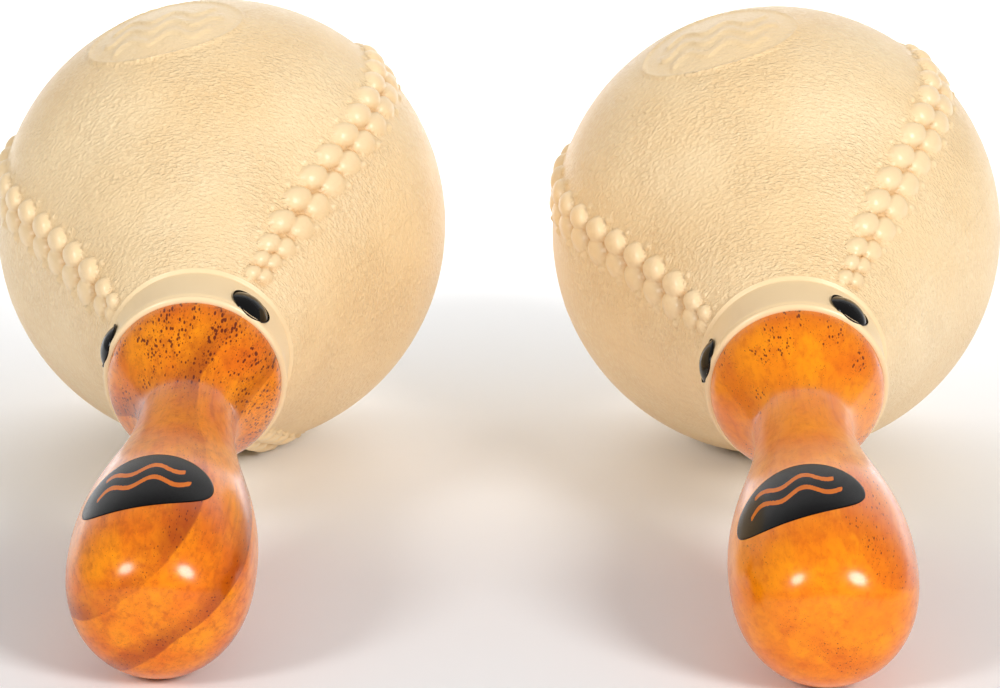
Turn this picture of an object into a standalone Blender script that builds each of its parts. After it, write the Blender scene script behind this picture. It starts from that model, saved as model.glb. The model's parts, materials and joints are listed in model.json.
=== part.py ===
"""A pair of maracas lying side by side.

Each maraca is a moulded head in two half shells, a turned wooden handle whose tenon plugs the
head's collar, three dome tacks that hold the handle, and loose pellets that rattle in the head.

Sizes are in millimetres and angles in degrees; Blender gets metres. The handles point to -Y, +X is
to the right and +Z is up. Outlines are lists of (reach, radius): reach runs along the maraca's axis
from the head's centre towards the butt of the handle.
"""
import math

import bmesh
import bpy
from mathutils import Matrix, Vector

MM = 0.001

# Head
HEAD_RADIUS = 45.0
CROWN_RISE = 2.4
SHELL_WALL = 2.5
TONGUE_HEIGHT = 1.5

# Collar, the straight tube that the handle plugs into
COLLAR_REACH = 59.5
COLLAR_LENGTH = 11.5
COLLAR_LIP = 0.8
COLLAR_STEP = 0.2
RIM_ROUND = 0.4

# Handle
HANDLE_LENGTH = 91.5
SHOULDER_RADIUS = 16.1
WAIST_PLACE = 18.5
WAIST_RADIUS = 8.9
BUTT_PLACE = 69.0
BUTT_RADIUS = 16.0
BUTT_FULLNESS = 2.8
TENON_LENGTH = 12.0
TENON_CHAMFER = 0.8

# Tacks
TACK_COUNT = 3
TACK_DOME_RADIUS = 4.75
TACK_DOME_HEIGHT = 2.0
TACK_METAL = 0.8
TACK_SHANK_RADIUS = 0.6
TACK_SHANK_LENGTH = 12.0
TACK_POINT_LENGTH = 2.0

# Pellets
PELLET_COUNT = 12
PELLET_RADIUS = 2.5
PELLET_GAP = 0.6

# Fits
FIT_GAP = 0.3

# How the pair lies
HEAD_GAP = 21.6
LEFT_ROLL = 16.0
RIGHT_ROLL = 19.5

# Facets
HEAD_SEGMENTS = 36
HANDLE_SEGMENTS = 24
TACK_SEGMENTS = 12
DRILL_SEGMENTS = 10
CROWN_STEPS = 9
CHEEK_STEPS = 4
EDGE_STEPS = 3
NECK_STEPS = 8
SWELL_STEPS = 10
BUTT_STEPS = 8
DOME_STEPS = 4
SMOOTH_ANGLE = 40.0

# Sizes that follow from the ones above
HEAD_SPACING = 2.0 * HEAD_RADIUS + HEAD_GAP
RIM_REACH = COLLAR_REACH + COLLAR_LENGTH
TACK_REACH = COLLAR_REACH + COLLAR_LENGTH / 2.0
COLLAR_RADIUS = SHOULDER_RADIUS + COLLAR_LIP
BORE_RADIUS = COLLAR_RADIUS - SHELL_WALL
TENON_RADIUS = BORE_RADIUS - FIT_GAP
NECK_END_RADIUS = COLLAR_RADIUS + COLLAR_STEP
NECK_ANGLE = math.atan2(NECK_END_RADIUS, COLLAR_REACH) + math.acos(
    HEAD_RADIUS / math.hypot(COLLAR_REACH, NECK_END_RADIUS)
)
TACK_SEAT = COLLAR_RADIUS + FIT_GAP
DRILL_RADIUS = TACK_SHANK_RADIUS + FIT_GAP
DRILL_OVERRUN = 2.0 * TACK_DOME_HEIGHT
CAVITY_RADIUS = HEAD_RADIUS - SHELL_WALL
OVERRUN = 2.0 * HEAD_RADIUS

COLOURS = {
    "shell": ((0.87, 0.64, 0.38), 0.45, 0.0),
    "wood": ((0.72, 0.24, 0.01), 0.25, 0.0),
    "tack": ((0.01, 0.01, 0.01), 0.1, 1.0),
    "pellet": ((0.8, 0.76, 0.66), 0.5, 0.0),
}


def clear_scene():
    """Empties the scene without closing the open file."""
    for thing in list(bpy.data.objects):
        bpy.data.objects.remove(thing, do_unlink=True)


def fractions(steps):
    """The evenly spaced values after 0, up to and with 1."""
    return [step / steps for step in range(1, steps + 1)]


def arc(centre, radius, start, end, steps):
    """Points of an arc, without its first; the angles are measured from the reach axis."""
    turns = [start + (end - start) * fraction for fraction in fractions(steps)]
    return [
        (centre[0] + radius * math.cos(turn), centre[1] + radius * math.sin(turn))
        for turn in turns
    ]


def ease(fraction):
    """Rises from 0 to 1 with a level start and end."""
    return (1.0 - math.cos(math.pi * fraction)) / 2.0


def head_outline(depth):
    """The head's outline at a depth under its skin, from the crown's pole to the collar."""
    radius = HEAD_RADIUS - depth
    crown = HEAD_RADIUS + CROWN_RISE - depth
    tube = COLLAR_RADIUS - depth
    points = [(-crown, 0.0)]
    for fraction in fractions(CROWN_STEPS):
        turn = fraction * math.pi / 2.0
        points.append((-crown * math.cos(turn), radius * math.sin(turn)))
    points += arc((0.0, 0.0), radius, math.pi / 2.0, NECK_ANGLE, CHEEK_STEPS)
    slope = math.tan(math.pi / 2.0 - NECK_ANGLE)
    start_reach, start_radius = points[-1]
    points.append((start_reach + (start_radius - tube) / slope, tube))
    return points


def shell_outline():
    """The head's wall: the skin down to the collar's rim, then the cavity back to the crown."""
    skin = head_outline(0.0)[:-1]
    skin.append((COLLAR_REACH, NECK_END_RADIUS))
    skin += arc((COLLAR_REACH, COLLAR_RADIUS), COLLAR_STEP, math.pi / 2.0, 0.0, EDGE_STEPS)
    corner = (RIM_REACH - RIM_ROUND, COLLAR_RADIUS - RIM_ROUND)
    skin.append((corner[0], COLLAR_RADIUS))
    skin += arc(corner, RIM_ROUND, math.pi / 2.0, 0.0, EDGE_STEPS)
    cavity = head_outline(SHELL_WALL) + [(RIM_REACH, BORE_RADIUS)]
    return skin + cavity[::-1]


def plug_outline(depth):
    """Everything inside the head at a depth under its skin, run on past the collar's rim."""
    end = RIM_REACH + OVERRUN
    return head_outline(depth) + [(end, COLLAR_RADIUS - depth), (end, 0.0)]


def grip_radius(distance):
    """The handle's radius at a distance from its shoulder, up to its widest place."""
    if distance < WAIST_PLACE:
        share = ease(distance / WAIST_PLACE)
        return SHOULDER_RADIUS + (WAIST_RADIUS - SHOULDER_RADIUS) * share
    share = ease((distance - WAIST_PLACE) / (BUTT_PLACE - WAIST_PLACE))
    return WAIST_RADIUS + (BUTT_RADIUS - WAIST_RADIUS) * share


def butt_outline(shoulder):
    """The rounded end of the handle, a quarter of a full oval."""
    points = []
    for fraction in fractions(BUTT_STEPS):
        turn = fraction * math.pi / 2.0
        out = math.sin(turn) ** (2.0 / BUTT_FULLNESS)
        across = math.cos(turn) ** (2.0 / BUTT_FULLNESS)
        reach = shoulder + BUTT_PLACE + (HANDLE_LENGTH - BUTT_PLACE) * out
        points.append((reach, BUTT_RADIUS * across))
    points[-1] = (shoulder + HANDLE_LENGTH, 0.0)
    return points


def handle_outline():
    """The handle: its tenon, the shoulder that meets the collar's rim, the grip and the butt."""
    shoulder = RIM_REACH + FIT_GAP
    start = shoulder - TENON_LENGTH
    points = [(start, 0.0), (start, TENON_RADIUS - TENON_CHAMFER)]
    points += [(start + TENON_CHAMFER, TENON_RADIUS), (shoulder, TENON_RADIUS)]
    points.append((shoulder, SHOULDER_RADIUS))
    places = [WAIST_PLACE * fraction for fraction in fractions(NECK_STEPS)]
    swell = BUTT_PLACE - WAIST_PLACE
    places += [WAIST_PLACE + swell * fraction for fraction in fractions(SWELL_STEPS)]
    points += [(shoulder + place, grip_radius(place)) for place in places]
    return points + butt_outline(shoulder)


def dome_arc(radius, height):
    """The dome's outline from its rim to its top, as part of a circle; heights are from the rim."""
    bend = (radius**2 + height**2) / (2.0 * height)
    edge = math.asin(radius / bend)
    turns = [edge * (1.0 - fraction) for fraction in fractions(DOME_STEPS)]
    points = [(height - bend + bend * math.cos(turn), bend * math.sin(turn)) for turn in turns]
    points[-1] = (height, 0.0)
    return [(0.0, radius)] + points


def tack_outline():
    """The tack from its point, up the shank, out under the hollow dome and over it."""
    hollow_height = TACK_DOME_HEIGHT - TACK_METAL
    hollow = dome_arc(TACK_DOME_RADIUS - TACK_METAL, hollow_height)[:-1]
    points = [(-TACK_SHANK_LENGTH, 0.0)]
    points.append((TACK_POINT_LENGTH - TACK_SHANK_LENGTH, TACK_SHANK_RADIUS))
    points.append((hollow_height, TACK_SHANK_RADIUS))
    return points + hollow[::-1] + dome_arc(TACK_DOME_RADIUS, TACK_DOME_HEIGHT)


def drill_outline():
    """The hole for a tack's shank, from outside the collar to just past the tack's point."""
    bottom = -TACK_SHANK_LENGTH - FIT_GAP
    return [
        (bottom, 0.0),
        (bottom, DRILL_RADIUS),
        (DRILL_OVERRUN, DRILL_RADIUS),
        (DRILL_OVERRUN, 0.0),
    ]


def revolve(name, outline, segments):
    """A closed mesh turned from an outline that starts and ends on the axis."""
    build = bmesh.new()
    rings = []
    for reach, radius in outline:
        if radius == 0.0:
            ring = [build.verts.new((0.0, -reach * MM, 0.0))] * segments
        else:
            turns = [2.0 * math.pi * index / segments for index in range(segments)]
            places = [
                Vector((radius * math.sin(turn), -reach, radius * math.cos(turn))) * MM
                for turn in turns
            ]
            ring = [build.verts.new(place) for place in places]
        rings.append(ring)
    for before, after in zip(rings, rings[1:]):
        for index in range(segments):
            follower = (index + 1) % segments
            corners = (before[index], before[follower], after[follower], after[index])
            build.faces.new(dict.fromkeys(corners))
    bmesh.ops.recalc_face_normals(build, faces=build.faces)
    mesh = bpy.data.meshes.new(name)
    build.to_mesh(mesh)
    build.free()
    return mesh


def block(low, high):
    """A box mesh that reaches OVERRUN to the sides and from one height to another."""
    build = bmesh.new()
    bmesh.ops.create_cube(build, size=2.0)
    mesh = bpy.data.meshes.new("block")
    build.to_mesh(mesh)
    build.free()
    size = Vector((OVERRUN, 2.0 * OVERRUN, (high - low) / 2.0)) * MM
    centre = Vector((0.0, 0.0, (high + low) / 2.0)) * MM
    mesh.transform(Matrix.Translation(centre) @ Matrix.Diagonal(size).to_4x4())
    return mesh


def boolean(operation, base, tool):
    """The mesh that joining, cutting or intersecting two meshes leaves."""
    pair = [bpy.data.objects.new("boolean", mesh) for mesh in (base, tool)]
    for thing in pair:
        bpy.context.scene.collection.objects.link(thing)
    modifier = pair[0].modifiers.new("boolean", "BOOLEAN")
    modifier.operation = operation
    modifier.solver = "EXACT"
    modifier.object = pair[1]
    graph = bpy.context.evaluated_depsgraph_get()
    result = bpy.data.meshes.new_from_object(pair[0].evaluated_get(graph))
    for thing in pair:
        bpy.data.objects.remove(thing, do_unlink=True)
    return result


def tack_places():
    """Each tack's place: its own reach axis points out of the collar's middle, at even turns."""
    places = []
    for index in range(TACK_COUNT):
        turn = math.pi + 2.0 * math.pi * index / TACK_COUNT
        along = Matrix.Translation((0.0, -TACK_REACH * MM, 0.0))
        aim = Matrix.Rotation(-turn, 4, "Y") @ Matrix.Rotation(-math.pi / 2.0, 4, "X")
        out = Matrix.Translation((0.0, -TACK_SEAT * MM, 0.0))
        places.append(along @ aim @ out)
    return places


def drilled(mesh):
    """A mesh with the holes for the tacks' shanks."""
    for place in tack_places():
        drill = revolve("drill", drill_outline(), DRILL_SEGMENTS)
        drill.transform(place)
        mesh = boolean("DIFFERENCE", mesh, drill)
    return mesh


def upper_waste():
    """What the upper half shell leaves out: the lower half, but not the tongue on its inside."""
    tongue = revolve("tongue", plug_outline((SHELL_WALL + FIT_GAP) / 2.0), HEAD_SEGMENTS)
    tongue = boolean("INTERSECT", tongue, block(-TONGUE_HEIGHT, OVERRUN))
    return boolean("DIFFERENCE", block(-OVERRUN, FIT_GAP / 2.0), tongue)


def lower_waste():
    """What the lower half shell leaves out: the upper half, and a rebate for the tongue."""
    rebate = revolve("rebate", plug_outline((SHELL_WALL - FIT_GAP) / 2.0), HEAD_SEGMENTS)
    rebate = boolean("INTERSECT", rebate, block(-TONGUE_HEIGHT - FIT_GAP, OVERRUN / 2.0))
    return boolean("UNION", block(-FIT_GAP / 2.0, OVERRUN), rebate)


def half_shells():
    """The upper and the lower half of the head, which part on a plane through its axis."""
    whole = drilled(revolve("shell", shell_outline(), HEAD_SEGMENTS))
    upper = boolean("DIFFERENCE", whole, upper_waste())
    lower = boolean("DIFFERENCE", whole, lower_waste())
    return upper, lower


def pellet_mesh():
    """A small ball."""
    build = bmesh.new()
    bmesh.ops.create_icosphere(build, subdivisions=2, radius=PELLET_RADIUS * MM)
    mesh = bpy.data.meshes.new("pellet")
    build.to_mesh(mesh)
    build.free()
    return mesh


def pellet_places():
    """Offsets from the head's centre: one layer in a three-cornered lattice on its lowest part."""
    pitch = 2.0 * PELLET_RADIUS + PELLET_GAP
    bowl = CAVITY_RADIUS - PELLET_RADIUS - PELLET_GAP
    cells = range(-PELLET_COUNT, PELLET_COUNT + 1)
    lattice = []
    for row in cells:
        for column in cells:
            across = (column + row / 2.0) * pitch
            along = (row * math.sqrt(3.0) / 2.0 - 1.0 / math.sqrt(3.0)) * pitch
            lattice.append((round(math.hypot(across, along), 6), across, along))
    nearest = sorted(lattice)[:PELLET_COUNT]
    return [
        Vector((across, along, -math.sqrt(bowl**2 - across**2 - along**2)))
        for _, across, along in nearest
    ]


def resting_slope():
    """How far the axis tips down for the head and the handle's butt to touch the floor together."""
    slopes = [
        math.asin(HEAD_RADIUS / math.hypot(reach, radius)) - math.atan2(radius, reach)
        for reach, radius in handle_outline()
    ]
    return min(slopes)


def material(name):
    """A plain material of the named colour."""
    colour, roughness, metallic = COLOURS[name]
    made = bpy.data.materials.new(name)
    made.use_nodes = True
    shader = made.node_tree.nodes["Principled BSDF"]
    shader.inputs["Base Color"].default_value = (*colour, 1.0)
    shader.inputs["Roughness"].default_value = roughness
    shader.inputs["Metallic"].default_value = metallic
    made.diffuse_color = (*colour, 1.0)
    return made


def finish(mesh, look):
    """Gives a mesh its material and smooth shading with crisp edges."""
    mesh.materials.clear()
    mesh.materials.append(look)
    mesh.shade_smooth()
    mesh.set_sharp_from_angle(angle=math.radians(SMOOTH_ANGLE))
    return mesh


def place_piece(name, mesh, parent, place):
    """One named piece of a maraca, placed from the middle of its head."""
    piece = bpy.data.objects.new(name, mesh)
    piece.parent = parent
    piece.matrix_basis = place
    bpy.context.scene.collection.objects.link(piece)
    return piece


def maraca(side, across, roll, meshes):
    """One maraca, rolled on its axis, with its head's centre above a place across the floor."""
    root = bpy.data.objects.new(side + "_maraca", None)
    bpy.context.scene.collection.objects.link(root)
    tip = Matrix.Rotation(resting_slope(), 4, "X") @ Matrix.Rotation(-math.radians(roll), 4, "Y")
    root.matrix_basis = Matrix.Translation(Vector((across, 0.0, HEAD_RADIUS)) * MM) @ tip
    still = Matrix.Identity(4)
    for name in ("upper_shell", "lower_shell", "handle"):
        place_piece(f"{side}_{name}", meshes[name], root, still)
    for index, place in enumerate(tack_places(), 1):
        place_piece(f"{side}_tack_{index}", meshes["tack"], root, place)
    for index, offset in enumerate(pellet_places(), 1):
        level = tip.inverted() @ Matrix.Translation(offset * MM)
        place_piece(f"{side}_pellet_{index:02d}", meshes["pellet"], root, level)
    return root


def centre_on_origin(roots):
    """Moves the pair until the origin is in the middle of its base."""
    bpy.context.view_layer.update()
    pieces = [thing for thing in bpy.data.objects if thing.type == "MESH"]
    points = [piece.matrix_world @ vertex.co for piece in pieces for vertex in piece.data.vertices]
    low = Vector([min(point[axis] for point in points) for axis in range(3)])
    high = Vector([max(point[axis] for point in points) for axis in range(3)])
    for root in roots:
        root.location -= Vector(((low.x + high.x) / 2.0, (low.y + high.y) / 2.0, low.z))


def build():
    """Makes every piece of the pair."""
    clear_scene()
    looks = {name: material(name) for name in COLOURS}
    upper, lower = half_shells()
    handle = drilled(revolve("handle", handle_outline(), HANDLE_SEGMENTS))
    tack = revolve("tack", tack_outline(), TACK_SEGMENTS)
    meshes = {
        "upper_shell": finish(upper, looks["shell"]),
        "lower_shell": finish(lower, looks["shell"]),
        "handle": finish(handle, looks["wood"]),
        "tack": finish(tack, looks["tack"]),
        "pellet": finish(pellet_mesh(), looks["pellet"]),
    }
    half = HEAD_SPACING / 2.0
    left = maraca("left", -half, LEFT_ROLL, meshes)
    right = maraca("right", half, RIGHT_ROLL, meshes)
    centre_on_origin((left, right))


build()
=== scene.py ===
"""The looks of a pair of maracas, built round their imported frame.

Each maraca is dressed as a maker would finish it: a moulded head in two half shells with raised
stitching, an oval panel and leather grain; a turned and varnished wooden handle with an oval film
on its butt; and three gloss dome tacks that hold the handle in the collar.

Sizes are in millimetres and turns in degrees until they reach a mesh, which is in metres. A place
on a maraca is (reach, radius, turn): reach runs along its axis from the head's centre towards the
butt, radius is the distance from the axis, and turn is measured round it from the panel's side.
"""

import json
import logging
import math
from dataclasses import dataclass, field
from enum import Enum

import bmesh
import bpy
import numpy as np
from mathutils import Matrix, Vector


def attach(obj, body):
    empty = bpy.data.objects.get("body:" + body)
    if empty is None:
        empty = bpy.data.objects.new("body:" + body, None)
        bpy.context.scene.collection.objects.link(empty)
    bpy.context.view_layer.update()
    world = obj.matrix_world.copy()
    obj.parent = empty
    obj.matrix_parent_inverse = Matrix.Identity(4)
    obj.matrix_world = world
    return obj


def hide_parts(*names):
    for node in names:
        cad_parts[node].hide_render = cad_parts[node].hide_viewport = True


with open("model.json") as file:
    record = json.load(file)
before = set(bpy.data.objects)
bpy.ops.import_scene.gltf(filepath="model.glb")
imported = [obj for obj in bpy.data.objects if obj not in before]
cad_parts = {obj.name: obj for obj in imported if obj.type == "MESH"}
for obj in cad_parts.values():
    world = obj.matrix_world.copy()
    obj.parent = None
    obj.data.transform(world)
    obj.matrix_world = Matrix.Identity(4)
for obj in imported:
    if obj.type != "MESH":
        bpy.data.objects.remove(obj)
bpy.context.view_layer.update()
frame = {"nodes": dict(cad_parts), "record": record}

Array = np.ndarray
LOG = logging.getLogger("maracas")
MM = 0.001


class Side(Enum):
    """Which maraca of the pair."""

    LEFT = "left"
    RIGHT = "right"


class Half(Enum):
    """Which half shell of a head: its node's name and the turn of its middle, in degrees."""

    UPPER = ("upper", 0.0)
    LOWER = ("lower", 180.0)

    @property
    def word(self) -> str:
        """The half's name in the frame's node names."""
        return self.value[0]

    @property
    def middle(self) -> float:
        """The turn of the half's middle, in degrees."""
        return self.value[1]


def smooth(low: float, high: float, value: Array) -> Array:
    """Rises from 0 at low to 1 at high, level at both ends: 3t^2 - 2t^3.

    Args:
        low: Where the rise starts.
        high: Where it ends.
        value: The values to ease.

    Returns:
        The eased share for each value.
    """
    share = np.clip((value - low) / (high - low), 0.0, 1.0)
    return share * share * (3.0 - 2.0 * share)


@dataclass(frozen=True)
class Lie:
    """How one maraca lies: its head's centre and the directions that its sizes run along."""

    side: Side
    roll: float

    @property
    def name(self) -> str:
        """The maraca's body in the frame."""
        return f"{self.side.value}_maraca"

    @property
    def centre(self) -> Array:
        """The head's centre in millimetres: the middle of the space kept for the pellets."""
        rooms = frame["record"]["physics"]["openings"]
        box = next(r for r in rooms if r["name"] == f"{self.side.value}_rattle_chamber")["box_m"]
        return (np.array(box[0]) + np.array(box[1])) / 2.0 / MM

    def directions(self) -> tuple[Array, Array, Array]:
        """The unit directions of the axis, of turn 0 and of turn 90.

        Returns:
            Axis (towards the butt), up (turn 0) and around (turn 90).
        """
        mounts = frame["record"]["mounts"]
        axis = np.array(next(m for m in mounts if m["name"] == f"{self.side.value}_grip")["axis"])
        axis = axis / np.linalg.norm(axis)
        level = np.array([0.0, axis[2], -axis[1]])
        aside = np.array([-1.0, 0.0, 0.0])
        turn = math.radians(self.roll)
        up = math.cos(turn) * level + math.sin(turn) * aside
        around = -math.sin(turn) * level + math.cos(turn) * aside
        return axis, up, around

    def place(self, reach: Array, radius: Array, turn: Array) -> Array:
        """Points in the frame, in millimetres, from places on the maraca.

        Args:
            reach: Distances along the axis.
            radius: Distances from the axis.
            turn: Turns in radians.

        Returns:
            Points: centre + reach * axis + radius * (cos turn * up + sin turn * around).
        """
        axis, up, around = self.directions()
        out = np.cos(turn)[..., None] * up + np.sin(turn)[..., None] * around
        return self.centre + reach[..., None] * axis + radius[..., None] * out


# Meshes


def quads(rows: int, columns: int, around: bool = False) -> Array:
    """The corner numbers of a grid's faces: (row, column), next row, next column, same row.

    Args:
        rows: How many rows of points the grid has.
        columns: How many points each row has.
        around: Whether the last column joins the first.

    Returns:
        An array of four corners per face.
    """
    across = columns if around else columns - 1
    row, column = np.meshgrid(np.arange(rows - 1), np.arange(across), indexing="ij")
    follower = (column + 1) % columns
    corners = (
        row * columns + column,
        (row + 1) * columns + column,
        (row + 1) * columns + follower,
        row * columns + follower,
    )
    return np.stack(corners, -1).reshape(-1, 4)


def spread(outline: Array, columns: int) -> tuple[Array, Array]:
    """The reach and the radius of each row of an outline, repeated over its columns."""
    return np.repeat(outline[:, :1], columns, 1), np.repeat(outline[:, 1:], columns, 1)


def pairs(first: Array, second: Array) -> Array:
    """Rows of two numbers."""
    return np.stack((first, second), 1)


def circle(points: int) -> Array:
    """Even turns in radians, all the way round."""
    return np.linspace(0.0, 2.0 * math.pi, points, endpoint=False)


def own_places(reach: Array, radius: Array, turn: Array) -> Array:
    """A turned piece's own coordinates, (across, up, reach), one row per point."""
    return np.stack((radius * np.sin(turn), radius * np.cos(turn), reach), -1).reshape(-1, 3)


def add(name: str, data: bpy.types.ID) -> bpy.types.Object:
    """A new object at the origin of the scene that shows a mesh, a light or a camera."""
    thing = bpy.data.objects.new(name, data)
    bpy.context.scene.collection.objects.link(thing)
    return thing


def make_piece(
    name: str,
    points: Array,
    faces: list,
    values: dict[str, Array],
    sharp: float = 40.0,
) -> bpy.types.Object:
    """A mesh object at the origin, with doubles merged, faces outwards and named values.

    Args:
        name: The piece's name.
        points: Its points in millimetres, in the frame.
        faces: Corner numbers of each face.
        values: Vectors or numbers per point that its finish reads.
        sharp: Edges that bend by more than this many degrees are shaded crisp.

    Returns:
        The new object.
    """
    mesh = bpy.data.meshes.new(name)
    mesh.from_pydata((points.reshape(-1, 3) * MM).tolist(), [], faces)
    for label, value in values.items():
        if value.ndim > 1 and value.shape[-1] == 3:
            layer = mesh.attributes.new(label, "FLOAT_VECTOR", "POINT")
            layer.data.foreach_set("vector", value.astype(np.float32).ravel())
        else:
            layer = mesh.attributes.new(label, "FLOAT", "POINT")
            layer.data.foreach_set("value", value.astype(np.float32).ravel())
    shape = bmesh.new()
    shape.from_mesh(mesh)
    bmesh.ops.remove_doubles(shape, verts=shape.verts, dist=2e-6)
    bmesh.ops.dissolve_degenerate(shape, edges=shape.edges, dist=1e-7)
    bmesh.ops.recalc_face_normals(shape, faces=shape.faces)
    shape.to_mesh(mesh)
    shape.free()
    mesh.shade_smooth()
    mesh.set_sharp_from_angle(angle=math.radians(sharp))
    return add(name, mesh)


def turned(name: str, lie: Lie, outline: Array, columns: int) -> bpy.types.Object:
    """A closed piece turned from an outline that starts and ends on the maraca's axis.

    Args:
        name: The piece's name.
        lie: How the maraca lies.
        outline: Rows of (reach, radius).
        columns: How many points go round.

    Returns:
        The new object, with its own coordinates (across, up, reach) in the value "own".
    """
    turn = np.repeat(circle(columns)[None, :], len(outline), 0)
    reach, radius = spread(outline, columns)
    faces = quads(len(outline), columns, True).tolist()
    values = {"own": own_places(reach, radius, turn)}
    return make_piece(name, lie.place(reach, radius, turn), faces, values)


# Finishes


class Nodes:
    """A small writer of shader nodes for one material."""

    def __init__(self, name: str) -> None:
        """Starts a material with one principled shader."""
        self.material = bpy.data.materials.new(name)
        self.material.use_nodes = True
        self.tree = self.material.node_tree
        self.shader = self.tree.nodes["Principled BSDF"]

    def wire(self, source: object, target: bpy.types.NodeSocket) -> None:
        """Links a socket, or sets a plain number or colour."""
        if isinstance(source, bpy.types.NodeSocket):
            self.tree.links.new(source, target)
        else:
            target.default_value = source

    def value(self, label: str, kind: str = "Fac") -> bpy.types.NodeSocket:
        """The named value of the mesh, as a number or a vector."""
        node = self.tree.nodes.new("ShaderNodeAttribute")
        node.attribute_name = label
        return node.outputs[kind]

    def own(self) -> bpy.types.NodeSocket:
        """The piece's Object coordinates."""
        return self.tree.nodes.new("ShaderNodeTexCoord").outputs["Object"]

    def pattern(self, kind: str, vector: object, scale: tuple) -> bpy.types.Node:
        """A pattern node with one lump per unit of the coordinates times scale."""
        mapping = self.tree.nodes.new("ShaderNodeMapping")
        self.wire(vector, mapping.inputs["Vector"])
        mapping.inputs["Scale"].default_value = scale
        node = self.tree.nodes.new(kind)
        self.wire(mapping.outputs[0], node.inputs["Vector"])
        node.inputs["Scale"].default_value = 1.0
        return node

    def noise(
        self, vector: object, scale: tuple, detail: float, rough: float, warp: float = 0.0
    ) -> bpy.types.NodeSocket:
        """Noise, from 0 to 1."""
        node = self.pattern("ShaderNodeTexNoise", vector, scale)
        node.inputs["Detail"].default_value = detail
        node.inputs["Roughness"].default_value = rough
        node.inputs["Distortion"].default_value = warp
        return node.outputs["Fac"]

    def cells(self, vector: object, scale: tuple) -> bpy.types.NodeSocket:
        """The distance to the nearest of scattered points."""
        return self.pattern("ShaderNodeTexVoronoi", vector, scale).outputs["Distance"]

    def calc(self, operation: str, *terms: object) -> bpy.types.NodeSocket:
        """Arithmetic on one, two or three numbers."""
        node = self.tree.nodes.new("ShaderNodeMath")
        node.operation = operation
        for term, socket in zip(terms, node.inputs):
            self.wire(term, socket)
        return node.outputs[0]

    def times(self, first: object, second: object) -> bpy.types.NodeSocket:
        """One number times another."""
        return self.calc("MULTIPLY", first, second)

    def step(
        self, value: object, low: float, high: float, bottom: float = 0.0, top: float = 1.0
    ) -> bpy.types.NodeSocket:
        """Eases from bottom to top as a value goes from low to high."""
        node = self.tree.nodes.new("ShaderNodeMapRange")
        node.interpolation_type = "SMOOTHSTEP"
        for term, label in zip(
            (value, low, high, bottom, top),
            ("Value", "From Min", "From Max", "To Min", "To Max"),
        ):
            self.wire(term, node.inputs[label])
        return node.outputs[0]

    def split(self, vector: object) -> bpy.types.bpy_prop_collection:
        """The three numbers of a vector."""
        node = self.tree.nodes.new("ShaderNodeSeparateXYZ")
        self.wire(vector, node.inputs[0])
        return node.outputs

    def blend(self, share: object, first: object, second: object) -> bpy.types.NodeSocket:
        """A mix of two colours."""
        node = self.tree.nodes.new("ShaderNodeMix")
        node.data_type = "RGBA"
        self.wire(share, node.inputs[0])
        self.wire(first, node.inputs[6])
        self.wire(second, node.inputs[7])
        return node.outputs[2]

    def bump(self, height: object, depth: float, strength: float, below: object = None) -> object:
        """A bump of a height in millimetres, over another if given."""
        node = self.tree.nodes.new("ShaderNodeBump")
        node.inputs["Distance"].default_value = depth * MM
        node.inputs["Strength"].default_value = strength
        self.wire(height, node.inputs["Height"])
        if below is not None:
            self.wire(below, node.inputs["Normal"])
        return node.outputs[0]

    def finish(
        self, colour: object, rough: object, normal: object = None, **sockets: float
    ) -> None:
        """Wires the shader: its colour, roughness and normal, and plain numbers by socket name."""
        self.wire(colour, self.shader.inputs["Base Color"])
        self.wire(rough, self.shader.inputs["Roughness"])
        if normal is not None:
            self.wire(normal, self.shader.inputs["Normal"])
        for label, number in sockets.items():
            self.shader.inputs[label.replace("_", " ")].default_value = number


def paint(red: float, green: float, blue: float) -> tuple[float, float, float, float]:
    """A linear colour from 0 to 255 display values: ((c + 0.055) / 1.055) ^ 2.4."""
    parts = [c / 255.0 for c in (red, green, blue)]
    line = [c / 12.92 if c <= 0.04045 else ((c + 0.055) / 1.055) ** 2.4 for c in parts]
    return (*line, 1.0)


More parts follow.
